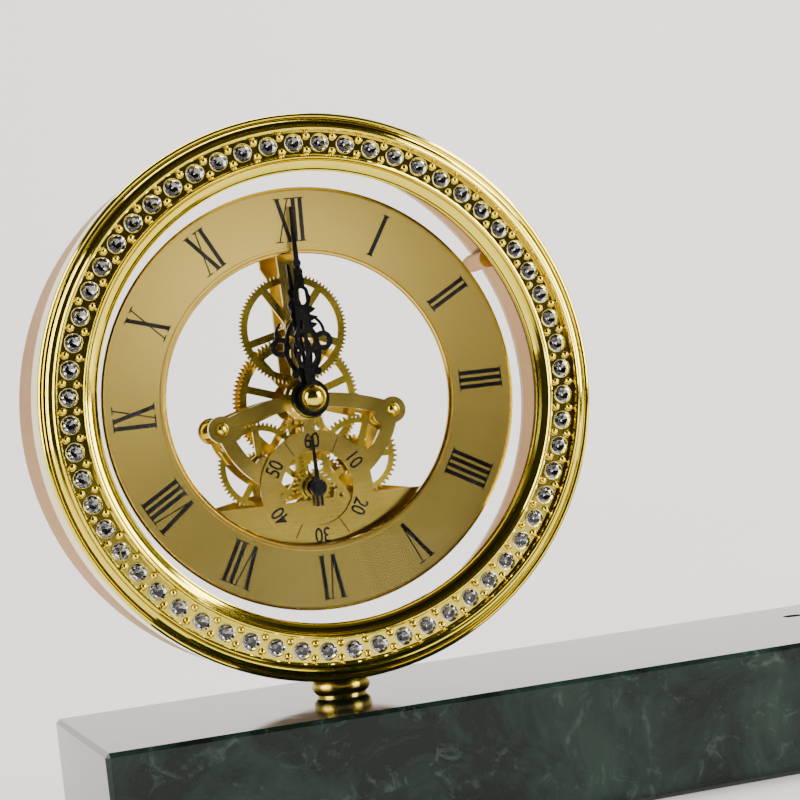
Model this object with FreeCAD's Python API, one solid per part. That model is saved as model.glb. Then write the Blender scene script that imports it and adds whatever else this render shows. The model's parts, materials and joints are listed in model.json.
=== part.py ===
"""Skeleton clock on a marble base: every separate piece, one STEP file per node.

The clock is drawn in its own coordinates, with X to the right, Y into the clock from the plane of
the stones and Z up, both measured from the axis of the hands.  It is then moved to its place on the
base.  The origin of the finished part is the centre of the base's underside.  Sizes are in mm.
"""
import FreeCAD
import Part
import math
import os

Vector = FreeCAD.Vector

# Base
BASE_LENGTH = 380.0
BASE_DEPTH = 97.0
BASE_HEIGHT = 37.0
FELT_THICK = 1.2
FELT_INSET = 1.5
BASE_CHAMFER = 1.2
STUD_RADIUS = 3.0
ORNAMENT_BORE = 3.25
NUT_CORNER = 5.77
COLLAR_BEAD = 8.5
ORNAMENT_X = 155.0
ORNAMENT_Y = 39.0

# Where the clock stands on the base
AXIS_FROM_LEFT_END = 77.3
AXIS_HEIGHT = 123.4
CASE_MIDDLE_Y = 20.0

# Case
CASE_RADIUS = 80.5
DRUM_INNER = 74.0
DRUM_FRONT = 14.0
DRUM_REAR = 42.0
POST_RING = 71.6
POST_RADIUS = 2.7
POST_ANGLES = (30.0, 150.0, 270.0)
LIP_RADIUS = 64.0
GLASS_RADIUS = 67.0
GLASS_FRONT = 1.6
GLASS_THICK = 2.0
CHANNEL_FLOOR = 1.1
CHANNEL_INNER = 68.3
CHANNEL_OUTER = 75.3
STRIP_FRONT = 0.3
STRIP_INNER = 68.75
STRIP_OUTER = 74.95
PANEL_FRONT = 39.2
PANEL_REAR = 41.4
PANEL_RADIUS = 73.8
KNOB_HOLE = 7.0

# Stones
STONE_COUNT = 60
STONE_RING = 72.0
STONE_RADIUS = 2.475
CUP_RADIUS = 2.72
CUP_FRONT = 0.05
BEAD_RADIUS = 1.1
BEAD_RINGS = (73.85, 69.75)
STALK_RADIUS = 0.55

# Dial
DIAL_OUTER = 61.1
DIAL_INNER = 42.1
DIAL_RIM_Y = 13.6
DIAL_EYE_Y = 15.8
DIAL_THICK = 1.2

# Movement levels, from front to back
RING_FRONT = 20.2
BRIDGE_FRONT = 21.0
BRIDGE_REAR = 22.8
SEGMENT_REAR = 22.2
STRAP_FRONT = 24.0
STRAP_REAR = 25.6
REAR_BRIDGE_FRONT = 35.8
REAR_BRIDGE_REAR = 37.3
WHEEL_THICK = 1.0
FINE_WHEEL_THICK = 0.8

# Axes of the wheels, as (x, z)
CENTRE = (0.0, 0.0)
UPPER = (0.0, 21.0)
LEFT = (-14.5, -18.0)
RIGHT = (14.5, -18.0)
SECONDS = (0.0, -26.0)
MOTION = (0.0, -7.5)
IDLER_ARM, IDLER_TURN = 12.6, math.radians(-22.0)
IDLER = (SECONDS[0] + IDLER_ARM * math.cos(IDLER_TURN), SECONDS[1] + IDLER_ARM * math.sin(IDLER_TURN))
ROTOR_ARM, ROTOR_TURN = 6.0, math.radians(-14.0)
ROTOR = (IDLER[0] + ROTOR_ARM * math.cos(ROTOR_TURN), IDLER[1] + ROTOR_ARM * math.sin(ROTOR_TURN))

# Tooth counts
FRONT_TEETH, UPPER_PINION_TEETH = 90, 15
REAR_TEETH, LEFT_PINION_TEETH = 90, 20
LEFT_TEETH, MIDDLE_PINION_TEETH = 63, 20
MIDDLE_TEETH, RIGHT_PINION_TEETH = 50, 27
RIGHT_TEETH, SECONDS_PINION_TEETH = 48, 21
UPPER_TEETH = 84
CANNON_TEETH, MOTION_TEETH = 15, 45
MOTION_PINION_TEETH, HOUR_TEETH = 12, 48
SECONDS_TEETH, IDLER_PINION_TEETH = 60, 10
IDLER_TEETH, ROTOR_TEETH = 40, 8
UPPER_MODULE = 0.382
PRESSURE_ANGLE = math.radians(20.0)
ADDENDUM = 0.9
DEDENDUM = 1.2
TOOTH_SHARE = 0.84

# Fixings
BOSS_RADIUS = 5.8
EARS = ((-25.9, -6.0), (25.9, -6.0))
EAR_RADIUS = 3.9
FEET = ((-37.0, -33.0), (37.0, -33.0))
TOP_POST = (0.0, 46.0)
RIVETS = ((-13.6, -25.5), (13.6, -25.5))
RING_OUTER = 16.8
RING_INNER = 10.9
NUT_RADIUS = 3.45

# Hands
HOUR_ANGLE = -3.4
MINUTE_ANGLE = 0.0
NEEDLE_REACH = 55.2

# Battery box
BOX_HALF = 27.0
BOX_TOP = -38.4
BOX_BOTTOM = -54.6
BOX_REAR = 36.8
BOX_WALL = 1.0
BOX_CORNER = 60.2
CELL_RADIUS = 6.75
CELL_Y = 30.0
HINGE_Y = 37.75
HINGE_Z = -54.9


# ---------------------------------------------------------------- simple solids

def rod(radius, y0, y1, at=CENTRE):
    """A round bar along Y."""
    return Part.makeCylinder(radius, y1 - y0, Vector(at[0], y0, at[1]), Vector(0, 1, 0))


def tube(outer, inner, y0, y1, at=CENTRE):
    """A round tube along Y."""
    return rod(outer, y0, y1, at).cut(rod(inner, y0 - 1, y1 + 1, at))


def block(x0, x1, y0, y1, z0, z1):
    """A box between two corners."""
    return Part.makeBox(x1 - x0, y1 - y0, z1 - z0, Vector(x0, y0, z0))


def spun(points):
    """A ring turned about the clock's axis from (radius, y) corners."""
    corners = [Vector(r, y, 0) for r, y in points]
    face = Part.Face(Part.makePolygon(corners + corners[:1]))
    return face.revolve(Vector(0, 0, 0), Vector(0, 1, 0), 360)


def slab(points, y0, y1):
    """A flat plate with a straight-sided outline of (x, z) corners."""
    corners = [Vector(x, y0, z) for x, z in points]
    face = Part.Face(Part.makePolygon(corners + corners[:1]))
    return face.extrude(Vector(0, y1 - y0, 0))


def bar(start, end, width, y0, y1):
    """A straight flat bar with round ends."""
    dx, dz = end[0] - start[0], end[1] - start[1]
    length = math.hypot(dx, dz)
    nx, nz = -dz / length * width / 2, dx / length * width / 2
    corners = [(start[0] + nx, start[1] + nz), (end[0] + nx, end[1] + nz),
               (end[0] - nx, end[1] - nz), (start[0] - nx, start[1] - nz)]
    ends = [rod(width / 2, y0, y1, start), rod(width / 2, y0, y1, end)]
    return slab(corners, y0, y1).fuse(ends).removeSplitter()


def bow(start, middle, end, width, y0, y1):
    """A flat bar of constant width along the arc through three (x, z) points."""
    points = [Vector(p[0], y0, p[1]) for p in (start, middle, end)]
    circle = Part.Circle(*points)
    centre = circle.Center
    sides = []
    for radius in (circle.Radius + width / 2, circle.Radius - width / 2):
        sides.append([centre + (p - centre).normalize() * radius for p in points])
    outer, inner = sides
    edges = [Part.Arc(*outer).toShape(), Part.LineSegment(outer[2], inner[2]).toShape(),
             Part.Arc(*inner).toShape(), Part.LineSegment(inner[0], outer[0]).toShape()]
    face = Part.Face(Part.Wire(Part.__sortEdges__(edges)))
    ends = [rod(width / 2, y0, y1, start), rod(width / 2, y0, y1, end)]
    return face.extrude(Vector(0, y1 - y0, 0)).fuse(ends).removeSplitter()


def joined(shapes):
    """One solid from overlapping shapes."""
    return shapes[0].fuse(list(shapes[1:])).removeSplitter()


def group(shapes):
    """Separate solids that share one node."""
    return Part.makeCompound(list(shapes))


def polar(radius, degrees, about=CENTRE):
    """The (x, z) point at an angle from +X towards +Z."""
    angle = math.radians(degrees)
    return (about[0] + radius * math.cos(angle), about[1] + radius * math.sin(angle))


# ---------------------------------------------------------------- gears

def distance(a, b):
    return math.hypot(b[0] - a[0], b[1] - a[1])


def module_of(a, b, teeth_a, teeth_b):
    """The module that puts two meshing gears at their centre distance."""
    return 2 * distance(a, b) / (teeth_a + teeth_b)


def mesh_phase(a, b, teeth_a, phase_a, teeth_b):
    """Where gear b has a tooth, so that it is in mesh with gear a."""
    towards_b = math.atan2(b[1] - a[1], b[0] - a[0])
    share_a = (towards_b - phase_a) * teeth_a / (2 * math.pi)
    share_b = 0.5 - share_a
    return towards_b + math.pi - share_b * 2 * math.pi / teeth_b


def half_tooth(radius, teeth, module):
    """Half the angle that an involute tooth covers at a radius."""
    pitch = module * teeth / 2
    base = pitch * math.cos(PRESSURE_ANGLE)
    at_radius = math.acos(min(1.0, base / radius))
    involute = math.tan(PRESSURE_ANGLE) - PRESSURE_ANGLE - math.tan(at_radius) + at_radius
    return TOOTH_SHARE * math.pi / (2 * teeth) + involute


def toothed_disc(at, teeth, module, phase, y0, y1):
    """A solid gear blank with its teeth."""
    pitch = module * teeth / 2
    root, tip = pitch - DEDENDUM * module, pitch + ADDENDUM * module
    flank = [root, (root + pitch) / 2, pitch, (pitch + tip) / 2, tip]
    corners = []
    for tooth in range(teeth):
        middle = phase + tooth * 2 * math.pi / teeth
        for side, radii in ((-1, flank), (1, reversed(flank))):
            for radius in radii:
                angle = middle + side * max(half_tooth(radius, teeth, module), 0.04 * module / radius)
                corners.append((at[0] + radius * math.cos(angle), at[1] + radius * math.sin(angle)))
    return slab(corners, y0, y1)


def wheel(at, teeth, module, phase, y0, thick, bore, spokes=5, hub=3.0, rim=1.9, arm=2.2, turn=90.0):
    """A spoked wheel with a hub and a bore."""
    y1 = y0 + thick
    root = module * teeth / 2 - DEDENDUM * module
    web = rod(root - rim, y0 - 1, y1 + 1, at).cut(rod(hub, y0 - 2, y1 + 2, at))
    arms = [bar(at, polar(root, turn + i * 360.0 / spokes, at), arm, y0 - 2, y1 + 2) for i in range(spokes)]
    windows = web.cut(joined(arms))
    return toothed_disc(at, teeth, module, phase, y0, y1).cut(windows).cut(rod(bore, y0 - 1, y1 + 1, at))


def pinion(at, teeth, module, phase, y0, y1, bore=0.0):
    """A small solid gear, cut through when it has a bore."""
    blank = toothed_disc(at, teeth, module, phase, y0, y1)
    return blank.cut(rod(bore, y0 - 1, y1 + 1, at)) if bore else blank


# ---------------------------------------------------------------- base and foot

def make_felt():
    half_x, half_y = BASE_LENGTH / 2 - FELT_INSET, BASE_DEPTH / 2 - FELT_INSET
    sheet = block(-half_x, half_x, -half_y, half_y, 0, FELT_THICK)
    holes = [Part.makeCylinder(10, 4, Vector(x, y, -1)) for x, y in stud_places()]
    return sheet.cut(holes)


def stud_places():
    """Where screws come up through the base: under the clock, and under an ornament."""
    clock_x = AXIS_FROM_LEFT_END - BASE_LENGTH / 2
    return (clock_x, 0.0), (clock_x + ORNAMENT_X, ORNAMENT_Y - CASE_MIDDLE_Y)


def make_marble():
    half_x, half_y = BASE_LENGTH / 2, BASE_DEPTH / 2
    slab_block = block(-half_x, half_x, -half_y, half_y, FELT_THICK, BASE_HEIGHT)
    stone = slab_block.makeChamfer(BASE_CHAMFER, slab_block.Edges)
    for (x, y), radius in zip(stud_places(), (STUD_RADIUS + 0.3, ORNAMENT_BORE)):
        stone = stone.cut(Part.makeCylinder(radius, BASE_HEIGHT + 2, Vector(x, y, -1)))
        stone = stone.cut(Part.makeCylinder(9.0, 10.0, Vector(x, y, 0)))
    return stone


def foot_profile():
    """Half outline of the turned collar, as (radius, height above the base)."""
    return [(3.1, 0.0), (7.1, 0.0), (7.1, 0.5)], [(6.8, 5.6), (6.8, 8.6), (3.1, 8.6)]


def make_foot():
    """A turned collar with one full bead, cut to sit against the round case."""
    lower, upper = foot_profile()
    x, top = AXIS_FROM_LEFT_END - BASE_LENGTH / 2, BASE_HEIGHT
    lines = [Vector(r, 0, h) for r, h in upper] + [Vector(r, 0, h) for r, h in lower]
    bead = Part.Arc(lines[-1], Vector(COLLAR_BEAD, 0, 3.0), lines[0]).toShape()
    edges = [Part.LineSegment(a, b).toShape() for a, b in zip(lines, lines[1:])] + [bead]
    face = Part.Face(Part.Wire(edges))
    collar = face.revolve(Vector(0, 0, 0), Vector(0, 0, 1), 360)
    collar.translate(Vector(x, 0, top))
    case = Part.makeCylinder(CASE_RADIUS, 40, Vector(x, -20, AXIS_HEIGHT), Vector(0, 1, 0))
    return collar.cut(case)


def upright(radius, z0, z1, inner=0.0):
    """A round piece on the line of the foot's stud."""
    x = AXIS_FROM_LEFT_END - BASE_LENGTH / 2
    body = Part.makeCylinder(radius, z1 - z0, Vector(x, 0, z0))
    return body.cut(Part.makeCylinder(inner, z1 - z0 + 2, Vector(x, 0, z0 - 1))) if inner else body


def make_foot_stud():
    return upright(STUD_RADIUS, 3.2, AXIS_HEIGHT - DRUM_INNER - 0.4)


def make_foot_nut():
    """A hexagon nut in the counterbore."""
    x = AXIS_FROM_LEFT_END - BASE_LENGTH / 2
    turns = [i * math.pi / 3 for i in range(6)]
    corners = [Vector(x + NUT_CORNER * math.cos(t), NUT_CORNER * math.sin(t), 3.8) for t in turns]
    nut = Part.Face(Part.makePolygon(corners + corners[:1])).extrude(Vector(0, 0, 5.0))
    return nut.cut(Part.makeCylinder(STUD_RADIUS, 20, Vector(x, 0, 0)))


# ---------------------------------------------------------------- case

def bezel_profile():
    """The rolled front of the bezel, from the outside in, as (radius, y)."""
    shoulder = [(CASE_RADIUS, DRUM_FRONT)]
    outer_roll = rolled(79.62, 0.95, 0.88, 0.95, 180, 8)
    high_roll = rolled(77.0, 0.3, 1.6, 1.65, 90, 6)
    channel_roll = rolled(76.0, -1.2, 0.7, 0.85, 180, 8)
    floor = [(CHANNEL_OUTER, CHANNEL_FLOOR), (CHANNEL_INNER, CHANNEL_FLOOR)]
    inner_roll = rolled(67.65, -1.0, 0.65, 0.7, 180, 6)
    slope = [(66.88, -0.7), (66.7, -0.95), (66.0, -0.72), (65.3, -0.3), (64.7, 0.22)]
    lip_roll = rolled(64.3, 0.5, 0.3, 0.4, 180, 4)
    back = [(LIP_RADIUS, GLASS_FRONT), (GLASS_RADIUS, GLASS_FRONT), (GLASS_RADIUS, 5.4), (69.0, 5.4)]
    back.append((69.0, 4.0))
    spigot = [(DRUM_INNER - 2.0, 4.0), (DRUM_INNER - 2.0, 18.0), (DRUM_INNER, 18.0), (DRUM_INNER, DRUM_FRONT)]
    outside = shoulder + outer_roll + [(78.68, 0.55)] + high_roll + [(76.85, -1.0)] + channel_roll
    return outside + floor + inner_roll + slope + lip_roll + back + spigot


def rolled(radius, y, half_width, height, sweep, count):
    """Points over a roll of the bezel, from its outer side inward through a sweep in degrees."""
    turns = [math.radians(sweep * i / count) for i in range(count + 1)]
    return [(radius + half_width * math.cos(t), y - height * math.sin(t)) for t in turns]


def make_bezel():
    return spun(bezel_profile())


def make_setting():
    """The pierced strip in the channel, with a cup for each stone and stalked beads between them."""
    strip = tube(STRIP_OUTER, STRIP_INNER, STRIP_FRONT, CHANNEL_FLOOR)
    step = 360.0 / STONE_COUNT
    cups, holes, beads = [], [], []
    for i in range(STONE_COUNT):
        place = polar(STONE_RING, 90 + i * step)
        cups.append(rod(CUP_RADIUS, CUP_FRONT, CHANNEL_FLOOR, place))
        holes.append(rod(STONE_RADIUS, -1, 2, place))
        for ring, wall in zip(BEAD_RINGS, (CHANNEL_OUTER - 0.1, CHANNEL_INNER + 0.1)):
            beads.append(make_bead(polar(ring, 90 + (i + 0.5) * step)))
            beads.append(make_stalk(90 + (i + 0.5) * step, ring, wall))
    return strip.fuse(cups + beads).cut(holes).removeSplitter()


def make_stalk(degrees, start, end):
    """A round bar from a bead to the wall of the channel."""
    x, z = polar(1.0, degrees)
    outward = Vector(x, 0, z) * (1 if end > start else -1)
    root = Vector(x * start, STRIP_FRONT, z * start)
    return Part.makeCylinder(STALK_RADIUS, abs(end - start), root, outward)


def make_bead(place):
    """A round stem with a domed front."""
    edge, top = Vector(BEAD_RADIUS, 0.1, 0), Vector(0, 0.1 - BEAD_RADIUS, 0)
    half = Vector(BEAD_RADIUS * math.sin(math.pi / 4), 0.1 - BEAD_RADIUS * math.sin(math.pi / 4), 0)
    foot, axis = Vector(BEAD_RADIUS, 0.7, 0), Vector(0, 0.7, 0)
    edges = [Part.Arc(edge, half, top).toShape()]
    edges += [Part.LineSegment(a, b).toShape() for a, b in ((top, axis), (axis, foot), (foot, edge))]
    face = Part.Face(Part.Wire(Part.__sortEdges__(edges)))
    bead = face.revolve(Vector(0, 0, 0), Vector(0, 1, 0), 360)
    bead.translate(Vector(place[0], 0, place[1]))
    return bead


def make_stone(place, sides=8):
    """A cut stone: a flat table, a sloping crown and a pointed pavilion, seen from the front."""
    rings = ((0.58, -0.75), (1.0, -0.05), (1.0, 0.1), (0.25, 1.0))
    wires = []
    for share, y in rings:
        corners = [polar(STONE_RADIUS * share, (i + 0.5) * 360.0 / sides, place) for i in range(sides)]
        corners = [Vector(x, y, z) for x, z in corners]
        wires.append(Part.makePolygon(corners + corners[:1]))
    return Part.makeLoft(wires, True, True)


def make_stones():
    step = 360.0 / STONE_COUNT
    return group(make_stone(polar(STONE_RING, 90 + i * step)) for i in range(STONE_COUNT))


def make_drum():
    """The round case wall with three posts for the rear panel."""
    wall = tube(CASE_RADIUS, DRUM_INNER, DRUM_FRONT, DRUM_REAR)
    posts = []
    for angle in POST_ANGLES:
        posts.append(rod(POST_RADIUS, 24.0, PANEL_FRONT, polar(POST_RING, angle)))
        posts.append(bar(polar(POST_RING, angle), polar(DRUM_INNER + 2, angle), 3.2, 24.0, PANEL_FRONT))
    drum = joined([wall] + posts)
    screws = [rod(1.0, 30.0, PANEL_FRONT + 1, polar(POST_RING, angle)) for angle in POST_ANGLES]
    stud = Part.makeCylinder(STUD_RADIUS, 20, Vector(0, CASE_MIDDLE_Y, -CASE_RADIUS - 5))
    return drum.cut(screws + [stud])


def make_panel():
    """The clear back, with an opening for the battery and a hole for the setting knob."""
    disc = rod(PANEL_RADIUS, PANEL_FRONT, PANEL_REAR)
    window = block(-29, 29, PANEL_FRONT - 1, PANEL_REAR + 1, -58.0, -37.5)
    holes = [rod(1.35, PANEL_FRONT - 1, PANEL_REAR + 1, polar(POST_RING, a)) for a in POST_ANGLES]
    holes += [rod(1.35, PANEL_FRONT - 1, PANEL_REAR + 1, p) for p in EARS + (TOP_POST,)]
    return disc.cut([window, rod(KNOB_HOLE, PANEL_FRONT - 1, PANEL_REAR + 1)] + holes)


def screw(at, head_y, tip_y, head_radius=2.2, shank_radius=1.0, rise=1.2):
    """A slotted screw along Y with a low domed head; its shank runs from the head's seat to the tip."""
    way = 1 if tip_y > head_y else -1
    outer = head_y - way * rise
    ball_radius = (head_radius ** 2 + rise ** 2) / (2 * rise)
    ball = Part.makeSphere(ball_radius, Vector(at[0], outer + way * ball_radius, at[1]))
    head = ball.common(rod(head_radius + 1, min(head_y, outer - way), max(head_y, outer - way), at))
    shank = rod(shank_radius, min(head_y, tip_y), max(head_y, tip_y), at)
    slot_floor = outer + way * 0.55
    low, high = min(outer - way, slot_floor), max(outer - way, slot_floor)
    slot = block(at[0] - 4, at[0] + 4, low, high, at[1] - 0.25, at[1] + 0.25)
    slot.rotate(Vector(at[0], 0, at[1]), Vector(0, 1, 0), 63)
    return head.fuse(shank).removeSplitter().cut(slot)


# ---------------------------------------------------------------- dial and plates

def dial_y(radius):
    """Depth of the dished dial's face at a radius."""
    share = (DIAL_OUTER - radius) / (DIAL_OUTER - DIAL_INNER)
    return DIAL_RIM_Y + share * (DIAL_EYE_Y - DIAL_RIM_Y)


def make_dial():
    """A dished ring with a raised rim outside and two rolls round its eye."""
    rim = [(DIAL_OUTER, dial_y(DIAL_OUTER) - 0.3), (60.4, dial_y(60.4) - 0.3), (60.2, dial_y(60.2))]
    rolls = [(44.0, dial_y(44.0)), (43.9, dial_y(43.9) - 0.35), (43.2, dial_y(43.2) - 0.35),
             (43.05, dial_y(43.05) + 0.1), (42.9, dial_y(42.9) - 0.1), (42.3, dial_y(42.3) - 0.1),
             (DIAL_INNER, dial_y(DIAL_INNER) + 0.2)]
    back = [(DIAL_INNER, dial_y(DIAL_INNER) + DIAL_THICK), (DIAL_OUTER, dial_y(DIAL_OUTER) + DIAL_THICK)]
    return spun(rim + rolls + back)


def dial_back(at):
    """Depth just inside the back of the dial, where a post meets it."""
    return dial_y(math.hypot(*at)) + DIAL_THICK + 0.3


def make_dial_posts():
    """Short posts between the dial and the lower plate; the top one also carries the strap."""
    posts = [rod(2.4, dial_back(p), BRIDGE_FRONT, p) for p in FEET]
    top = joined([rod(2.8, dial_back(TOP_POST), STRAP_FRONT, TOP_POST), rod(1.5, 20, STRAP_REAR, TOP_POST)])
    return group(posts + [top])


def make_segment():
    """The plate that fills the bottom of the dial's eye, with the bearing of the seconds arbor."""
    disc = rod(53.0, BRIDGE_FRONT, SEGMENT_REAR)
    below = block(-60, 60, BRIDGE_FRONT - 1, SEGMENT_REAR + 1, -60, -29.4)
    tongue = bar(SECONDS, (SECONDS[0], -33.0), 4.0, BRIDGE_FRONT, SEGMENT_REAR)
    bearing = rod(3.3, BRIDGE_FRONT, SEGMENT_REAR, SECONDS)
    ear = rod(2.3, BRIDGE_FRONT, SEGMENT_REAR, (7.2, -29.0))
    plate = joined([disc.common(below), tongue, bearing, ear])
    holes = [rod(0.75, 20, 24, SECONDS), rod(0.65, 20, 24, IDLER), rod(0.7, 20, 24, (7.2, -29.0))]
    return plate.cut(holes)


def bridge_outline(y0, y1):
    """Bars from the two ears over the centre and down to the seconds ring."""
    pieces = [bow(EARS[0], (0.0, -0.5), EARS[1], 4.2, y0, y1)]
    for side in (-1, 1):
        pieces.append(bow((side * 25.0, -7.5), (side * 20.6, -16.2), (side * 13.6, -22.6), 4.2, y0, y1))
        pieces.append(bar((side * 13.6, -22.6), (side * 13.6, -25.5), 4.2, y0, y1))
        pieces.append(rod(EAR_RADIUS, y0, y1, (side * 25.9, -6.0)))
        pieces.append(rod(2.4, y0, y1, (side * 22.4, -7.4)))
        pieces.append(rod(2.7, y0, y1, (side * 14.5, -18.0)))
    pieces.append(bar((0.0, -2.0), (0.0, -11.5), 3.4, y0, y1))
    pieces.append(rod(6.4, y0, y1))
    return pieces


def make_front_bridge():
    plate = joined(bridge_outline(BRIDGE_FRONT, BRIDGE_REAR))
    holes = [rod(2.65, 20, 24), rod(0.9, 22.0, 24, MOTION)]
    holes += [rod(0.85, 20, 24, p) for p in (LEFT, RIGHT)]
    holes += [rod(1.05, 20, 24, p) for p in EARS]
    holes += [rod(0.8, 20, 24, p) for p in RIVETS]
    return plate.cut(holes)


def make_rear_bridge():
    """The back plate: the front bridge's outline, a strap up to XII and arms to the lower pillars."""
    y0, y1 = REAR_BRIDGE_FRONT, REAR_BRIDGE_REAR
    pieces = bridge_outline(y0, y1)
    pieces.append(bar(CENTRE, SECONDS, 4.2, y0, y1))
    pieces.append(bar(CENTRE, TOP_POST, 6.4, y0, y1))
    pieces.append(slab([(-3.2, 36), (3.2, 36), (5.4, 40), (5.4, 50), (-5.4, 50), (-5.4, 40)], y0, y1))
    pieces += [bar(SECONDS, p, 5.0, y0, y1) for p in FEET]
    pieces += [rod(2.8, y0, y1, p) for p in (SECONDS, UPPER, IDLER, ROTOR)]
    plate = joined(pieces)
    bores = {CENTRE: 1.15, UPPER: 0.85, LEFT: 0.85, RIGHT: 0.85, SECONDS: 0.75, IDLER: 0.65, ROTOR: 0.45}
    holes = [rod(radius, y0 - 1, y1 + 1, at) for at, radius in bores.items()]
    holes += [rod(1.05, y0 - 1, y1 + 1, p) for p in EARS + (TOP_POST,)]
    return plate.cut(holes)


def make_seconds_ring():
    ring = tube(RING_OUTER, RING_INNER, RING_FRONT, BRIDGE_FRONT, SECONDS)
    return ring.cut([rod(0.8, 19, 22, p) for p in RIVETS])


def rivet(at):
    """A slotted rivet through the seconds ring and the bridge."""
    pin = joined([rod(0.8, RING_FRONT - 0.2, BRIDGE_REAR, at), rod(0.95, RING_FRONT - 0.35, RING_FRONT, at)])
    return pin.cut(block(at[0] - 0.12, at[0] + 0.12, 19, RING_FRONT - 0.15, at[1] - 2, at[1] + 2))


def make_pillars():
    """Turned pillars between the bridges: at the ears, below, and a spacer behind the top strap."""
    shapes = []
    for at in EARS:
        stem = [rod(2.4, BRIDGE_REAR, REAR_BRIDGE_FRONT, at), rod(3.5, BRIDGE_REAR, BRIDGE_REAR + 1.4, at),
                rod(3.5, REAR_BRIDGE_FRONT - 2.2, REAR_BRIDGE_FRONT, at)]
        shapes.append(joined(stem).cut([rod(1.0, BRIDGE_REAR - 1, 28, at), rod(1.0, 31, 40, at)]))
    shapes += [rod(2.4, SEGMENT_REAR, REAR_BRIDGE_FRONT, at) for at in FEET]
    shapes.append(rod(2.8, STRAP_REAR, REAR_BRIDGE_FRONT, TOP_POST).cut(rod(1.0, 31, 40, TOP_POST)))
    return group(shapes)


def make_strap():
    """The front strap from XII down to a round nose over the upper wheel."""
    y0, y1 = STRAP_FRONT, STRAP_REAR
    arm = slab([(-2.9, 43.0), (2.9, 43.0), (2.4, 21.0), (-2.4, 21.0)], y0, y1)
    nose = rod(3.3, y0 - 1.0, y1, UPPER)
    nose = nose.makeFillet(0.7, [e for e in nose.Edges if abs(e.BoundBox.YMax - (y0 - 1.0)) < 0.01])
    pad = slab([(-2.9, 43.0), (2.9, 43.0), (4.4, 49.0), (-4.4, 49.0)], y0, y1)
    return joined([arm, nose, pad]).cut([rod(1.5, 20, 30, TOP_POST), rod(0.85, y0, y1 + 1, UPPER)])


def make_centre_boss():
    """The polished tube in front of the bridge, which the hour tube runs in."""
    return tube(BOSS_RADIUS, 2.65, 15.9, BRIDGE_FRONT)


# ---------------------------------------------------------------- hands

def along(angle, reach, side=0.0):
    """A point at a distance along a hand, and to its right, for a hand at an angle from 12."""
    turn = math.radians(angle)
    return (reach * math.sin(turn) + side * math.cos(turn), reach * math.cos(turn) - side * math.sin(turn))


def ring_loop(at, outer, inner, y0, y1):
    """A round loop of a pierced hand."""
    return tube(outer, inner, y0, y1, at)





def make_hour_hand():
    """A pierced serpentine hand: hub, heart with two side loops and horns, and a swelling blade."""
    y0, y1, a = 14.4, 15.0, HOUR_ANGLE
    solids = [rod(5.3, y0, 15.4), bar(along(a, 3.0), along(a, 8.6), 4.6, y0, y1)]
    for side in (-1, 1):
        solids.append(ring_loop(along(a, 15.9, side * 6.4), 2.9, 1.4, y0, y1))
        solids.append(bow(along(a, 8.0, side * 2.4), along(a, 12.2, side * 4.6), along(a, 17.8, side * 4.0),
                          1.4, y0, y1))
        solids.append(bow(along(a, 8.4, side * 0.9), along(a, 13.0, side * 2.2), along(a, 18.6, side * 0.9),
                          1.1, y0, y1))
        solids.append(bow(along(a, 17.8, side * 4.0), along(a, 20.0, side * 3.2), along(a, 22.4, side * 1.2),
                          1.3, y0, y1))
        solids.append(bow(along(a, 18.2, side * 7.2), along(a, 20.6, side * 6.8), along(a, 22.4, side * 5.6),
                          0.8, y0, y1))
        solids.append(rod(1.15, y0, y1, along(a, 7.5, side * 3.3)))
    solids.append(bar(along(a, 8.0), along(a, 22.0), 1.1, y0, y1))
    solids.append(blade(a, 18.0, 33.6, 3.2, 1.5, y0, y1))
    solids.append(blade(a, 31.0, 38.8, 1.5, 0.85, y0, y1))
    solids.append(rod(0.42, y0, y1, along(a, 38.8)))
    solids += swellings(a, ((24.2, 1.85), (27.2, 2.05), (30.9, 1.6)), y0, y1)
    slit = bar(along(a, 21.0), along(a, 23.4), 0.9, y0 - 1, y1 + 1)
    return joined(solids).cut([slit, rod(2.6, y0 - 1, 16)])


def make_minute_hand():
    """A longer pierced hand with a heart, a comb of three points, an eye and a swelling neck."""
    y0, y1, a = 12.4, 12.9, MINUTE_ANGLE
    solids = [rod(4.3, y0, 13.2), bar(along(a, 3.5), along(a, 9.0), 2.8, y0, y1)]
    solids.append(ring_loop(along(a, 11.6), 3.4, 2.1, y0, y1))
    solids.append(bar(along(a, 8.0), along(a, 20.0), 1.1, y0, y1))
    for side in (-1, 1):
        solids.append(bow(along(a, 14.0, side * 1.6), along(a, 16.6, side * 2.8), along(a, 19.8, side * 1.9),
                          1.2, y0, y1))
    solids.append(blade(a, 18.6, 28.6, 4.4, 4.2, y0, y1))
    for reach, side in ((25.6, 4.0), (23.2, 4.5), (21.1, 4.1)):
        corners = [along(a, reach - 1.5, 1.6), along(a, reach - 0.9, 2.9), along(a, reach, side),
                   along(a, reach + 0.6, 2.8), along(a, reach + 1.0, 1.6)]
        solids.append(slab(corners, y0, y1))
    solids += [rod(2.55, y0, y1, along(a, 28.8, 0.2)), rod(2.3, y0, y1, along(a, 30.4, 0.1))]
    solids.append(blade(a, 29.0, 37.0, 3.4, 2.3, y0, y1))
    solids.append(blade(a, 36.0, NEEDLE_REACH, 1.75, 0.8, y0, y1))
    solids.append(rod(0.4, y0, y1, along(a, NEEDLE_REACH)))
    solids += swellings(a, ((34.0, 1.5), (36.6, 1.4), (39.1, 1.2)), y0, y1)
    holes = [bar(along(a, 28.2, 0.3), along(a, 30.5, 0.2), 2.3, y0 - 1, y1 + 1)]
    holes.append(bar(along(a, 20.4, -0.9), along(a, 22.2, -0.7), 0.9, y0 - 1, y1 + 1))
    return joined(solids).cut(holes + [rod(1.1, y0 - 1, 14)])


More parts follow.
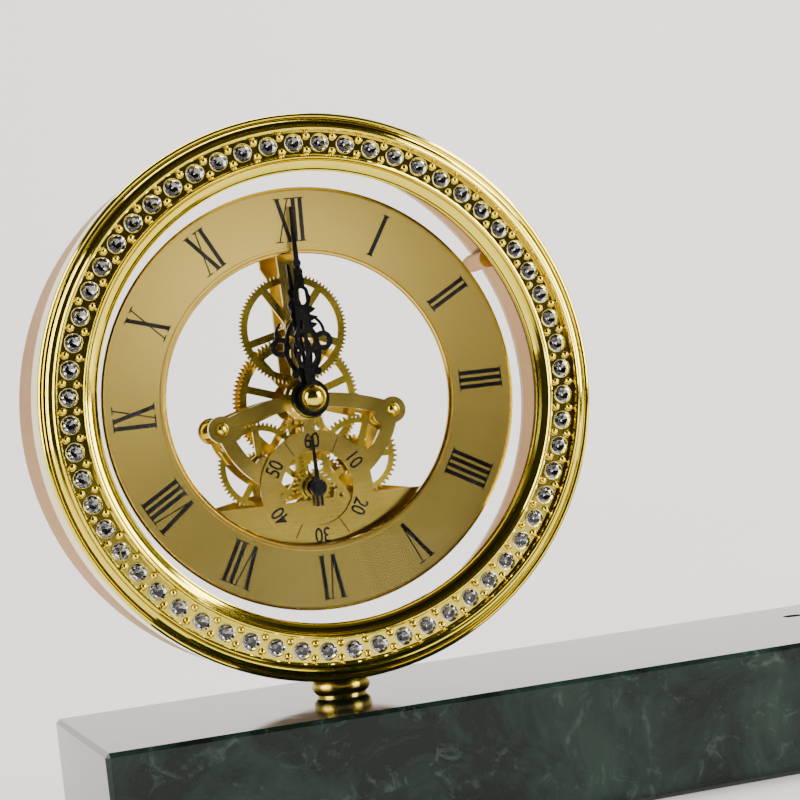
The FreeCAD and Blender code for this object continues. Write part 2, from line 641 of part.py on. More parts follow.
def blade(angle, start, end, wide, narrow, y0, y1):
    """A tapering blade."""
    corners = [along(angle, start, -wide / 2), along(angle, end, -narrow / 2),
               along(angle, end, narrow / 2), along(angle, start, wide / 2)]
    return slab(corners, y0, y1)


def swellings(angle, places, y0, y1):
    """Round swellings of a blade, each given by its reach and radius."""
    return [rod(radius, y0, y1, along(angle, reach)) for reach, radius in places]


def make_seconds_hand():
    """A slim pointer with a round hub and a two-pronged tail."""
    y0, y1 = 18.7, 19.1
    hub = joined([rod(2.4, 18.3, 19.5, SECONDS), rod(1.2, 17.9, 18.4, SECONDS)])
    x, z = SECONDS
    pointer = slab([(x - 0.7, z + 1), (x - 0.36, z + 15.2), (x + 0.36, z + 15.2), (x + 0.7, z + 1)], y0, y1)
    tail = [block(x + s * 0.68 - 0.42, x + s * 0.68 + 0.42, y0, y1, z - 5.4, z - 1) for s in (-1, 1)]
    return joined([hub, pointer] + tail).cut(rod(0.7, 18.4, 20, SECONDS))


def make_hand_nut():
    """The domed nut with a knurled edge."""
    rise, base = 2.0, 11.0
    ball_radius = (NUT_RADIUS ** 2 + rise ** 2) / (2 * rise)
    ball = Part.makeSphere(ball_radius, Vector(0, base - rise + ball_radius, 0))
    dome = ball.common(rod(NUT_RADIUS + 1, base - rise - 1, base + 0.2))
    edge = toothed_disc(CENTRE, 40, 0.188, 0.0, base, 12.4)
    return dome.fuse(edge).removeSplitter().cut(rod(1.1, base, 13))


# ---------------------------------------------------------------- arbors and wheels

def make_centre_arbor():
    """The arbor of the minute hand, from the nut to the setting knob."""
    return joined([rod(1.1, 11.0, 41.0), rod(2.6, 31.4, 33.0)])


def front_module():
    return module_of(CENTRE, UPPER, FRONT_TEETH, UPPER_PINION_TEETH)


def rear_module():
    return module_of(CENTRE, LEFT, REAR_TEETH, LEFT_PINION_TEETH)


def left_module():
    return module_of(LEFT, SECONDS, LEFT_TEETH, MIDDLE_PINION_TEETH)


def middle_module():
    return module_of(RIGHT, SECONDS, MIDDLE_TEETH, RIGHT_PINION_TEETH)


def right_module():
    return module_of(RIGHT, SECONDS, RIGHT_TEETH, SECONDS_PINION_TEETH)


def motion_module():
    return module_of(CENTRE, MOTION, CANNON_TEETH, MOTION_TEETH)


def seconds_module():
    return module_of(SECONDS, IDLER, SECONDS_TEETH, IDLER_PINION_TEETH)


def rotor_module():
    return module_of(IDLER, ROTOR, IDLER_TEETH, ROTOR_TEETH)


def make_hour_wheel():
    phase = mesh_phase(MOTION, CENTRE, MOTION_PINION_TEETH, 0.0, HOUR_TEETH)
    teeth = wheel(CENTRE, HOUR_TEETH, motion_module(), phase, 23.5, FINE_WHEEL_THICK, 1.65, 4, 3.4, 1.0, 1.0)
    return joined([teeth, tube(2.6, 1.65, 14.4, 24.3)])


def make_cannon_pinion():
    return joined([pinion(CENTRE, CANNON_TEETH, motion_module(), 0.0, 24.9, 26.1, 1.1),
                   tube(1.6, 1.1, 13.2, 25.2)])


def make_motion_wheel():
    """The wheel and pinion that carry the minute hand's turn to the hour wheel."""
    phase = mesh_phase(CENTRE, MOTION, CANNON_TEETH, 0.0, MOTION_TEETH)
    big = wheel(MOTION, MOTION_TEETH, motion_module(), phase, 25.0, FINE_WHEEL_THICK, 0.95, 4, 2.0, 1.0, 1.0)
    small = pinion(MOTION, MOTION_PINION_TEETH, motion_module(), 0.0, 23.3, 25.1, 0.95)
    return joined([big, small])


def make_upper_arbor():
    phase = mesh_phase(CENTRE, UPPER, FRONT_TEETH, 0.0, UPPER_PINION_TEETH)
    return joined([rod(0.8, 24.2, 36.9, UPPER), rod(2.4, 25.9, 27.8, UPPER),
                   pinion(UPPER, UPPER_PINION_TEETH, front_module(), phase, 27.6, 31.4)])


def make_left_arbor():
    phase = mesh_phase(CENTRE, LEFT, REAR_TEETH, 0.0, LEFT_PINION_TEETH)
    return joined([rod(0.8, 21.2, 36.9, LEFT), rod(2.4, 25.4, 28.0, LEFT),
                   pinion(LEFT, LEFT_PINION_TEETH, rear_module(), phase, 32.8, 34.6)])


def make_right_arbor():
    phase = mesh_phase(SECONDS, RIGHT, MIDDLE_TEETH, 0.0, RIGHT_PINION_TEETH)
    return joined([rod(0.8, 21.2, 36.9, RIGHT), rod(2.4, 23.2, 25.8, RIGHT),
                   pinion(RIGHT, RIGHT_PINION_TEETH, middle_module(), phase, 28.0, 29.6)])


def make_middle_pinion():
    """A pinion on a tube that turns freely on the seconds arbor."""
    phase = mesh_phase(LEFT, SECONDS, LEFT_TEETH, 0.0, MIDDLE_PINION_TEETH)
    return joined([tube(1.6, 0.75, 25.6, 29.7, SECONDS),
                   pinion(SECONDS, MIDDLE_PINION_TEETH, left_module(), phase, 25.8, 27.8, 0.75)])


def make_seconds_arbor():
    phase = mesh_phase(RIGHT, SECONDS, RIGHT_TEETH, 0.0, SECONDS_PINION_TEETH)
    return joined([rod(0.7, 18.4, 36.9, SECONDS), rod(1.8, 31.0, 33.2, SECONDS),
                   pinion(SECONDS, SECONDS_PINION_TEETH, right_module(), phase, 23.4, 25.2)])


def make_idler():
    """The step-down wheel between the motor and the seconds wheel."""
    small = mesh_phase(SECONDS, IDLER, SECONDS_TEETH, 0.0, IDLER_PINION_TEETH)
    return joined([rod(0.6, 21.4, 36.9, IDLER),
                   pinion(IDLER, IDLER_PINION_TEETH, seconds_module(), small, 31.3, 33.6),
                   toothed_disc(IDLER, IDLER_TEETH, rotor_module(), 0.0, 33.4, 34.2)])


def make_rotor():
    phase = mesh_phase(IDLER, ROTOR, IDLER_TEETH, 0.0, ROTOR_TEETH)
    return joined([rod(0.4, 32.4, 36.9, ROTOR), rod(2.6, 34.5, 35.5, ROTOR),
                   pinion(ROTOR, ROTOR_TEETH, rotor_module(), phase, 33.1, 34.6)])


def make_knob():
    """The hand-setting knob, with a fluted edge."""
    body = rod(5.2, 38.2, 41.8)
    flutes = [rod(0.45, 38.0, 42.0, polar(5.4, i * 15.0)) for i in range(24)]
    return body.cut(flutes).cut(rod(1.1, 37, 41.0))


# ---------------------------------------------------------------- motor and battery

def make_stator():
    """The flat iron plate round the rotor."""
    y0, y1 = 34.5, 35.4
    plate = joined([rod(5.0, y0, y1, ROTOR), bar(ROTOR, (31.5, -32.8), 5.6, y0, y1)])
    return plate.cut(rod(3.1, y0 - 1, y1 + 1, ROTOR))


def make_coil_core():
    """The coil's iron core, with a lug at each end down to the stator."""
    core = Part.makeCylinder(1.2, 14.0, Vector(19.5, 31.3, -32.8), Vector(1, 0, 0))
    lugs = [block(x, x + 1.4, 30.3, 34.5, -33.8, -31.8) for x in (19.5, 32.1)]
    return joined([core] + lugs)


def make_coil():
    body = Part.makeCylinder(2.8, 10.6, Vector(21.2, 31.3, -32.8), Vector(1, 0, 0))
    flanges = [Part.makeCylinder(3.1, 0.6, Vector(x, 31.3, -32.8), Vector(1, 0, 0)) for x in (21.0, 31.4)]
    hole = Part.makeCylinder(1.2, 20.0, Vector(15, 31.3, -32.8), Vector(1, 0, 0))
    return joined([body] + flanges).cut(hole)


def make_circuit():
    """The small board with the driver under its black blob."""
    board = block(-32.0, -19.0, 34.4, 35.6, -37.6, -31.2)
    dome = Part.makeSphere(2.4, Vector(-25.5, 35.6, -34.4)).common(rod(3, 32.4, 35.0, (-25.5, -34.4)))
    return joined([board, dome])


def make_battery_box():
    """A tray that opens to the back, with ears for the cover's hinge pin."""
    shell = block(-BOX_HALF, BOX_HALF, SEGMENT_REAR, BOX_REAR, BOX_BOTTOM, BOX_TOP).common(
        rod(BOX_CORNER, 0, 60))
    inside = block(-BOX_HALF + BOX_WALL, BOX_HALF - BOX_WALL, SEGMENT_REAR + BOX_WALL, BOX_REAR + 1,
                   BOX_BOTTOM + BOX_WALL, BOX_TOP - BOX_WALL).common(rod(BOX_CORNER - BOX_WALL, 0, 60))
    ears = []
    for x in (-11.2, 9.8):
        arm = block(x, x + 1.4, 34.0, HINGE_Y, HINGE_Z - 0.9, BOX_BOTTOM + 0.2)
        eye = Part.makeCylinder(0.9, 1.4, Vector(x, HINGE_Y, HINGE_Z), Vector(1, 0, 0))
        ears += [arm, eye]
    pin_hole = Part.makeCylinder(0.45, 40, Vector(-20, HINGE_Y, HINGE_Z), Vector(1, 0, 0))
    return joined([shell.cut(inside)] + ears).cut(pin_hole)


def make_hinge_pin():
    return Part.makeCylinder(0.45, 22.4, Vector(-11.2, HINGE_Y, HINGE_Z), Vector(1, 0, 0))


def make_battery_cover():
    """The cover, with a hinge barrel below and a ribbed finger grip."""
    y0, y1 = BOX_REAR + 0.05, BOX_REAR + 1.25
    plate = block(-26.4, 26.4, y0, y1, HINGE_Z + 0.9, BOX_TOP - 0.4).common(rod(59.4, 0, 60))
    barrel = Part.makeCylinder(0.9, 19.2, Vector(-9.6, HINGE_Y, HINGE_Z), Vector(1, 0, 0))
    neck = block(-9.6, 9.6, y0 + 0.1, y1, HINGE_Z, HINGE_Z + 1.2)
    ribs = [block(-6, 6, y1, y1 + 0.5, z, z + 0.6) for z in (-40.6, -41.8, -43.0)]
    cover = joined([plate, barrel, neck] + ribs)
    return cover.cut(Part.makeCylinder(0.5, 40, Vector(-20, HINGE_Y, HINGE_Z), Vector(1, 0, 0)))


def make_battery():
    z = (BOX_TOP + BOX_BOTTOM) / 2
    cell = Part.makeCylinder(CELL_RADIUS, 47.4, Vector(-24.2, CELL_Y, z), Vector(1, 0, 0))
    cell = cell.makeFillet(0.6, cell.Edges[:1] + cell.Edges[2:3])
    nub = Part.makeCylinder(2.6, 1.4, Vector(23.1, CELL_Y, z), Vector(1, 0, 0))
    return joined([cell, nub])


def make_contacts():
    z = (BOX_TOP + BOX_BOTTOM) / 2
    plus = block(24.6, 25.0, CELL_Y - 4, CELL_Y + 4, z - 3.5, z + 3.5)
    minus = block(-25.6, -25.2, CELL_Y - 4, CELL_Y + 4, z - 3.5, z + 3.5)
    spring = Part.makeCone(2.6, 1.4, 1.0, Vector(-25.2, CELL_Y, z), Vector(1, 0, 0))
    return group([plus, joined([minus, spring])])


def stud_line_pieces():
    """The pieces of the base and the foot, in the finished part's coordinates."""
    return {
        "base_felt": make_felt(),
        "marble_base": make_marble(),
        "foot_collar": make_foot(),
        "foot_stud": make_foot_stud(),
        "foot_washer": upright(8.0, 8.8, 10.0, STUD_RADIUS + 0.1),
        "foot_nut": make_foot_nut(),
    }


def case_pieces():
    posts = [polar(POST_RING, angle) for angle in POST_ANGLES]
    return {
        "bezel_ring": make_bezel(),
        "stone_setting": make_setting(),
        "crystals": make_stones(),
        "front_glass": rod(GLASS_RADIUS - 0.2, GLASS_FRONT, GLASS_FRONT + GLASS_THICK),
        "glass_gasket": tube(GLASS_RADIUS, GLASS_RADIUS - 2.2, GLASS_FRONT + GLASS_THICK, 4.9),
        "case_drum": make_drum(),
        "rear_panel": make_panel(),
        "panel_screws": group(screw(p, PANEL_REAR, 32.0, 2.4) for p in posts),
    }


def plate_pieces():
    spacers = [tube(2.8, 1.35, REAR_BRIDGE_REAR, PANEL_FRONT, p) for p in EARS + (TOP_POST,)]
    return {
        "dial_ring": make_dial(),
        "dial_posts": make_dial_posts(),
        "segment_plate": make_segment(),
        "front_bridge": make_front_bridge(),
        "rear_bridge": make_rear_bridge(),
        "bridge_pillars": make_pillars(),
        "bridge_screws": group(screw(p, BRIDGE_FRONT, 27.0, 2.0) for p in EARS),
        "movement_screws": group(screw(p, PANEL_REAR, 32.0) for p in EARS + (TOP_POST,)),
        "panel_spacers": group(spacers),
        "top_strap": make_strap(),
        "centre_boss": make_centre_boss(),
        "seconds_ring": make_seconds_ring(),
        "seconds_ring_rivets": group(rivet(p) for p in RIVETS),
        "motion_stud": rod(0.9, 22.0, 26.2, MOTION),
    }


def going_wheels():
    """The toothed wheels that turn with an arbor of their own."""
    return {
        "centre_wheel_front": wheel(CENTRE, FRONT_TEETH, front_module(), 0.0, 30.2, WHEEL_THICK, 1.1),
        "centre_wheel_rear": wheel(CENTRE, REAR_TEETH, rear_module(), 0.0, 33.2, WHEEL_THICK, 1.1,
                                   turn=54.0),
        "upper_wheel": wheel(UPPER, UPPER_TEETH, UPPER_MODULE, 0.0, 26.2, WHEEL_THICK, 2.4,
                             hub=3.4, turn=50.0),
        "left_wheel": wheel(LEFT, LEFT_TEETH, left_module(), 0.0, 26.2, WHEEL_THICK, 2.4,
                            hub=3.4, rim=1.6, arm=1.9, turn=20.0),
        "right_wheel": wheel(RIGHT, RIGHT_TEETH, right_module(), 0.0, 23.8, WHEEL_THICK, 2.4,
                             hub=3.4, rim=1.5, arm=1.9, turn=70.0),
        "middle_wheel": wheel(SECONDS, MIDDLE_TEETH, middle_module(), 0.0, 28.4, FINE_WHEEL_THICK, 1.6,
                              spokes=4, hub=2.6, rim=1.5, arm=1.7, turn=45.0),
        "seconds_wheel": wheel(SECONDS, SECONDS_TEETH, seconds_module(), 0.0, 31.7, FINE_WHEEL_THICK, 1.8,
                               spokes=4, hub=2.8, rim=1.4, arm=1.6, turn=0.0),
    }


def moving_pieces():
    """The arbors, pinions, hands and the knob."""
    return {
        "centre_arbor": make_centre_arbor(),
        "cannon_pinion": make_cannon_pinion(),
        "minute_hand": make_minute_hand(),
        "hand_nut": make_hand_nut(),
        "setting_knob": make_knob(),
        "hour_wheel": make_hour_wheel(),
        "hour_hand": make_hour_hand(),
        "motion_wheel": make_motion_wheel(),
        "upper_arbor": make_upper_arbor(),
        "left_arbor": make_left_arbor(),
        "right_arbor": make_right_arbor(),
        "middle_pinion": make_middle_pinion(),
        "seconds_arbor": make_seconds_arbor(),
        "seconds_hand": make_seconds_hand(),
        "idler_wheel": make_idler(),
        "motor_rotor": make_rotor(),
    }


def motor_pieces():
    return {
        "motor_stator": make_stator(),
        "coil_core": make_coil_core(),
        "motor_coil": make_coil(),
        "circuit_board": make_circuit(),
        "battery_box": make_battery_box(),
        "battery": make_battery(),
        "battery_contacts": make_contacts(),
        "cover_hinge_pin": make_hinge_pin(),
        "battery_cover": make_battery_cover(),
    }


def main():
    os.makedirs("parts", exist_ok=True)
    to_base = Vector(AXIS_FROM_LEFT_END - BASE_LENGTH / 2, -CASE_MIDDLE_Y, AXIS_HEIGHT)
    clock = {**case_pieces(), **plate_pieces(), **going_wheels(), **moving_pieces(), **motor_pieces()}
    for shape in clock.values():
        shape.translate(to_base)
    for name, shape in {**stud_line_pieces(), **clock}.items():
        bad = "" if shape.isValid() else "  NOT VALID"
        print(f"{name}: {len(shape.Solids)} solids, {shape.Volume:.1f} mm3{bad}")
        shape.exportStep(f"parts/{name}.step")


main()
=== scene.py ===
"""Looks of the skeleton clock: materials, printed numerals, cut stones, studio and camera.

Lengths are in metres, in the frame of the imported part.  Places on the clock are given from the axis
of the hands in millimetres: x to the right, y into the clock from the plane of the stones, z up.
"""
import json
import math

import bpy
from mathutils import Matrix, Vector


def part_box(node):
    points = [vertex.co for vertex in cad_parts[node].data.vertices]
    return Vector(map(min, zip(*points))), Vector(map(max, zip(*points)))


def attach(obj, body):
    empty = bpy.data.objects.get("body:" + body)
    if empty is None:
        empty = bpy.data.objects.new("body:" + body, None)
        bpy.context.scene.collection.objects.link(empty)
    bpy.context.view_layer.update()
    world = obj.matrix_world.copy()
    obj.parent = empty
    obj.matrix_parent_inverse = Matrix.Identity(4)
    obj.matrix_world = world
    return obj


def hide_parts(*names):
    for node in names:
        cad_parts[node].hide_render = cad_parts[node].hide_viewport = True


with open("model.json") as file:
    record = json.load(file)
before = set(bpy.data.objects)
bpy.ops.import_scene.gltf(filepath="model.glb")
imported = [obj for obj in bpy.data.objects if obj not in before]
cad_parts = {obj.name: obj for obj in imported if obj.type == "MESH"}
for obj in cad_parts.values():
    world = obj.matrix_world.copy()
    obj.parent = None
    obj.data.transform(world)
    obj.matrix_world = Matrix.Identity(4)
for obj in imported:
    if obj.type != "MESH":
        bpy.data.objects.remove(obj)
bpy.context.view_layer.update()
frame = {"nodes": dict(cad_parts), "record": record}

MM = 0.001
DIAL_RIM, DIAL_EYE, DIAL_BEVEL = 61.1, 42.1, 0.65
DISH_DEPTH = 2.2
DISH_SLOPE = DISH_DEPTH / (DIAL_RIM - DIAL_EYE)
RIM_LEAN, EYE_LEAN = 0.75, -0.6
FACES_FRONT = -0.9
BEVEL_POLISH = 0.14
TABLE_RISE = 0.75
STONES_LOW, STONES_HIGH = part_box("crystals")
AXIS = (STONES_LOW + STONES_HIGH) / 2
AXIS.y = STONES_LOW.y + TABLE_RISE * MM


def at(x, y, z):
    """A place on the clock, in metres in the part's frame."""
    return AXIS + Vector((x, y, z)) * MM


# ---------------------------------------------------------------- materials

def add(tree, kind, inputs=None, **settings):
    """A node with its settings, and its inputs given as values or linked from sockets."""
    node = tree.nodes.new(kind)
    for key, value in settings.items():
        setattr(node, key, value)
    for key, value in (inputs or {}).items():
        if isinstance(value, bpy.types.NodeSocket):
            tree.links.new(value, node.inputs[key])
        else:
            node.inputs[key].default_value = value
    return node


def start(name, color, metallic=0.0, roughness=0.4, **more):
    """A new material and its shader, with the values that are the same all over."""
    material = bpy.data.materials.new(name)
    material.use_nodes = True
    tree = material.node_tree
    shader = tree.nodes["Principled BSDF"]
    shader.inputs["Base Color"].default_value = (*color, 1.0)
    shader.inputs["Metallic"].default_value = metallic
    shader.inputs["Roughness"].default_value = roughness
    for key, value in more.items():
        shader.inputs[key.replace("_", " ")].default_value = value
    return material, tree, shader


def place(tree):
    """Place in the part's frame, which turns with a moving piece."""
    return add(tree, "ShaderNodeTexCoord").outputs["Object"]


def from_axis(tree):
    """Place measured from the hands' axis, with the depth left out."""
    moved = add(tree, "ShaderNodeVectorMath", {0: place(tree), 1: AXIS}, operation="SUBTRACT")
    flat = add(tree, "ShaderNodeVectorMath", {0: moved.outputs[0], 1: (1, 0, 1)}, operation="MULTIPLY")
    return flat.outputs[0]


def noise(tree, where, scale, detail=2.0, roughness=0.5, distortion=0.0):
    inputs = {"Vector": where, "Scale": scale, "Detail": detail}
    inputs.update({"Roughness": roughness, "Distortion": distortion})
    return add(tree, "ShaderNodeTexNoise", inputs).outputs["Fac"]


def spread(tree, value, low, high, start_at=0.3, stop_at=0.7):
    """A value between two others, following a pattern."""
    inputs = {"Value": value, "From Min": start_at, "From Max": stop_at, "To Min": low, "To Max": high}
    return add(tree, "ShaderNodeMapRange", inputs).outputs["Result"]


def blend(tree, factor, one, other):
    """A colour between two others, each a plain colour or a socket, following a pattern."""
    pair = [(*color, 1.0) if isinstance(color, tuple) else color for color in (one, other)]
    factor_at, one_at, other_at, result_at = 0, 6, 7, 2
    inputs = {factor_at: factor, one_at: pair[0], other_at: pair[1]}
    return add(tree, "ShaderNodeMix", inputs, data_type="RGBA").outputs[result_at]


def bump(tree, shader, height, distance, normal=None):
    inputs = {"Height": height, "Distance": distance}
    if normal:
        inputs["Normal"] = normal
    node = add(tree, "ShaderNodeBump", inputs)
    tree.links.new(node.outputs["Normal"], shader.inputs["Normal"])


def round_normal(tree):
    """The surface's normal without its sideways part, to hide facets on shapes turned about the axis."""
    own = add(tree, "ShaderNodeNewGeometry").outputs["Normal"]
    ray = add(tree, "ShaderNodeVectorMath", {0: from_axis(tree)}, operation="NORMALIZE").outputs[0]
    outward = add(tree, "ShaderNodeVectorMath", {0: own, 1: ray}, operation="DOT_PRODUCT").outputs["Value"]
    side = add(tree, "ShaderNodeVectorMath", {0: ray, "Scale": outward}, operation="SCALE").outputs[0]
    along = add(tree, "ShaderNodeVectorMath", {0: own, 1: (0, 1, 0)}, operation="MULTIPLY").outputs[0]
    both = add(tree, "ShaderNodeVectorMath", {0: side, 1: along}, operation="ADD").outputs[0]
    return add(tree, "ShaderNodeVectorMath", {0: both}, operation="NORMALIZE").outputs[0]


def worn_metal(name, color, low, high, grain=900.0, depth=0.000004, tint=0.93, turned=False):
    """Plated metal: its polish and its tint vary a little, over a very shallow grain."""
    material, tree, shader = start(name, color, metallic=1.0)
    where = place(tree)
    cloud = noise(tree, where, 60.0, 3.0)
    tree.links.new(spread(tree, cloud, low, high), shader.inputs["Roughness"])
    deeper = tuple(c * tint for c in color)
    tree.links.new(blend(tree, spread(tree, cloud, 0.0, 1.0), color, deeper), shader.inputs["Base Color"])
    bump(tree, shader, noise(tree, where, grain, 2.0), depth, round_normal(tree) if turned else None)
    return material


def dial_edges(tree, flat):
    """One on the polished bevel round the dial's rim, and one on the bevel round its eye."""
    radius = add(tree, "ShaderNodeVectorMath", {0: flat}, operation="LENGTH").outputs["Value"]
    rim = add(tree, "ShaderNodeMath", {0: radius, 1: (DIAL_RIM - DIAL_BEVEL) * MM}, operation="GREATER_THAN")
    eye = add(tree, "ShaderNodeMath", {0: radius, 1: (DIAL_EYE + DIAL_BEVEL) * MM}, operation="LESS_THAN")
    return rim.outputs[0], eye.outputs[0]


def dish_normal(tree, ray, rim, eye):
    """The true normal of the dish on its front, and the surface's own normal everywhere else."""
    own = add(tree, "ShaderNodeNewGeometry").outputs["Normal"]
    at_rim = {0: rim, 1: RIM_LEAN, 2: -DISH_SLOPE}
    out = add(tree, "ShaderNodeMath", at_rim, operation="MULTIPLY_ADD").outputs[0]
    at_eye = {0: eye, 1: EYE_LEAN, 2: out}
    lean = add(tree, "ShaderNodeMath", at_eye, operation="MULTIPLY_ADD").outputs[0]
    side = add(tree, "ShaderNodeVectorMath", {0: ray, "Scale": lean}, operation="SCALE").outputs[0]
    smooth = add(tree, "ShaderNodeVectorMath", {0: side, 1: (0, -1, 0)}, operation="ADD").outputs[0]
    smooth = add(tree, "ShaderNodeVectorMath", {0: smooth}, operation="NORMALIZE").outputs[0]
    depth = add(tree, "ShaderNodeSeparateXYZ", {0: own}).outputs["Y"]
    front = add(tree, "ShaderNodeMath", {0: depth, 1: FACES_FRONT}, operation="LESS_THAN").outputs[0]
    factor_at, own_at, smooth_at, result_at = 0, 4, 5, 1
    inputs = {factor_at: front, own_at: own, smooth_at: smooth}
    return add(tree, "ShaderNodeMix", inputs, data_type="VECTOR").outputs[result_at]


def dial_metal(name, color, low, high):
    """Satin metal with faint rays from the hands' axis, on a shallow dish with two polished bevels."""
    material, tree, shader = start(name, color, metallic=1.0, Anisotropic=0.5)
    flat = from_axis(tree)
    ray = add(tree, "ShaderNodeVectorMath", {0: flat}, operation="NORMALIZE").outputs[0]
    rim, eye = dial_edges(tree, flat)
    satin = spread(tree, noise(tree, ray, 90.0, 3.0), low, high)
    edge = add(tree, "ShaderNodeMath", {0: rim, 1: eye}, operation="ADD").outputs[0]
    smoother = {0: edge, 1: -BEVEL_POLISH, 2: satin}
    polish = add(tree, "ShaderNodeMath", smoother, operation="MULTIPLY_ADD").outputs[0]
    tree.links.new(polish, shader.inputs["Roughness"])
    deeper = tuple(c * 0.94 for c in color)
    cloud = noise(tree, place(tree), 25.0, 2.0)
    tree.links.new(blend(tree, spread(tree, cloud, 0.0, 1.0), color, deeper), shader.inputs["Base Color"])
    grain = noise(tree, place(tree), 1500.0, 2.0)
    bump(tree, shader, grain, 0.0000012, dish_normal(tree, ray, rim, eye))
    tangent = add(tree, "ShaderNodeTangent", direction_type="RADIAL", axis="Y")
    tree.links.new(tangent.outputs[0], shader.inputs["Tangent"])
    return material


def brushed_metal(name, color, low, high, stretch=(30.0, 900.0, 900.0), depth=0.000006, edge=(1.0, 1.0, 1.0),
                  turned=False):
    """Metal with fine straight brushing along one direction."""
    material, tree, shader = start(name, color, metallic=1.0, Specular_Tint=(*edge, 1.0))
    where = add(tree, "ShaderNodeVectorMath", {0: place(tree), 1: stretch}, operation="MULTIPLY").outputs[0]
    lines = noise(tree, where, 2.0, 4.0, 0.6)
    cloud = noise(tree, place(tree), 50.0, 2.0)
    tree.links.new(spread(tree, cloud, low, high), shader.inputs["Roughness"])
    deeper = tuple(c * 0.9 for c in color)
    tree.links.new(blend(tree, spread(tree, lines, 0.0, 1.0), color, deeper), shader.inputs["Base Color"])
    bump(tree, shader, lines, depth, round_normal(tree) if turned else None)
    return material


def marble():
    """Dark green marble: cloudy patches, pale flecks and a few thin veins under a polish."""
    material, tree, shader = start("dark_green_marble", (0.01, 0.03, 0.02), roughness=0.06, IOR=1.5,
                                   Specular_IOR_Level=0.24)
    where = place(tree)
    warp = add(tree, "ShaderNodeTexNoise", {"Vector": where, "Scale": 22.0, "Detail": 4.0})
    offset = add(tree, "ShaderNodeVectorMath", {0: warp.outputs["Color"], 1: (0.02, 0.02, 0.02)},
                 operation="MULTIPLY").outputs[0]
    bent = add(tree, "ShaderNodeVectorMath", {0: where, 1: offset}, operation="ADD").outputs[0]
    clouds = noise(tree, bent, 34.0, 9.0, 0.68, 0.6)
    patches = spread(tree, clouds, 0.0, 1.0, 0.42, 0.66)
    color = blend(tree, patches, (0.003, 0.007, 0.005), (0.015, 0.034, 0.024))
    flecks = noise(tree, bent, 130.0, 8.0, 0.72, 0.8)
    color = blend(tree, spread(tree, flecks, 0.0, 0.75, 0.56, 0.72), color, (0.052, 0.086, 0.064))
    cells = add(tree, "ShaderNodeTexVoronoi", {"Vector": bent, "Scale": 26.0}, feature="DISTANCE_TO_EDGE")
    vein = spread(tree, cells.outputs["Distance"], 0.7, 0.0, 0.0, 0.022)
    gaps = spread(tree, clouds, 0.0, 1.0, 0.54, 0.62)
    broken = add(tree, "ShaderNodeMath", {0: vein, 1: gaps}, operation="MULTIPLY").outputs[0]
    color = blend(tree, broken, color, (0.060, 0.095, 0.072))
    tree.links.new(color, shader.inputs["Base Color"])
    tree.links.new(spread(tree, flecks, 0.04, 0.11), shader.inputs["Roughness"])
    bump(tree, shader, noise(tree, where, 260.0, 3.0), 0.000006)
    return material


def felt():
    material, tree, shader = start("black_felt", (0.012, 0.013, 0.012), roughness=0.95, Sheen_Weight=0.4)
    where = place(tree)
    fibres = noise(tree, where, 1800.0, 4.0, 0.7, 1.2)
    color = blend(tree, fibres, (0.008, 0.009, 0.008), (0.035, 0.037, 0.035))
    tree.links.new(color, shader.inputs["Base Color"])
    tree.links.new(spread(tree, noise(tree, where, 300.0), 0.85, 1.0), shader.inputs["Roughness"])
    bump(tree, shader, fibres, 0.0002)
    return material


def clear(name, tint, roughness, face_on):
    """Thin clear sheet: see-through face on, and a mirror of the room at a glancing angle."""
    material, tree, shader = start(name, tint, metallic=1.0, roughness=roughness)
    where = place(tree)
    facing = add(tree, "ShaderNodeLayerWeight", {"Blend": 0.5}).outputs["Facing"]
    steep = add(tree, "ShaderNodeMath", {0: facing, 1: 5.0}, operation="POWER").outputs[0]
    gloss = add(tree, "ShaderNodeMath", {0: steep, 1: 0.95, 2: face_on}, operation="MULTIPLY_ADD").outputs[0]
    tree.links.new(gloss, shader.inputs["Alpha"])
    haze = spread(tree, noise(tree, where, 40.0, 3.0), roughness, roughness * 2)
    tree.links.new(haze, shader.inputs["Roughness"])
    bump(tree, shader, noise(tree, where, 12.0), 0.00002)
    return material


def crystal_crown():
    """The front facets of a stone: clear lead glass."""
    material, tree, shader = start("crystal_crown", (0.90, 0.89, 0.87), roughness=0.0, IOR=1.56,
                                   Transmission_Weight=1.0)
    where = place(tree)
    tree.links.new(spread(tree, noise(tree, where, 700.0), 0.0, 0.03), shader.inputs["Roughness"])
    bump(tree, shader, noise(tree, where, 900.0), 0.000001)
    return material


def crystal_foil():
    """The silvered back facets of a stone."""
    material, tree, shader = start("crystal_foil", (0.80, 0.80, 0.80), metallic=1.0, roughness=0.03)
    where = place(tree)
    cloud = noise(tree, where, 700.0)
    tree.links.new(spread(tree, cloud, 0.01, 0.08), shader.inputs["Roughness"])
    tree.links.new(blend(tree, cloud, (0.46, 0.45, 0.43), (0.22, 0.22, 0.22)), shader.inputs["Base Color"])
    bump(tree, shader, noise(tree, where, 1500.0), 0.000002)
    return material


def lacquer(name, color, low, high, coat=0.0):
    """Paint, ink, rubber or plastic: a plain colour with uneven gloss over a faint grain."""
    material, tree, shader = start(name, color, roughness=low, Coat_Weight=coat)
    where = place(tree)
    cloud = noise(tree, where, 120.0, 3.0)
    lighter = tuple(min(1.0, c * 1.35 + 0.003) for c in color)
    tree.links.new(blend(tree, spread(tree, cloud, 0.0, 1.0), color, lighter), shader.inputs["Base Color"])
    tree.links.new(spread(tree, cloud, low, high), shader.inputs["Roughness"])
    bump(tree, shader, noise(tree, where, 1400.0, 2.0), 0.00001)
    return material


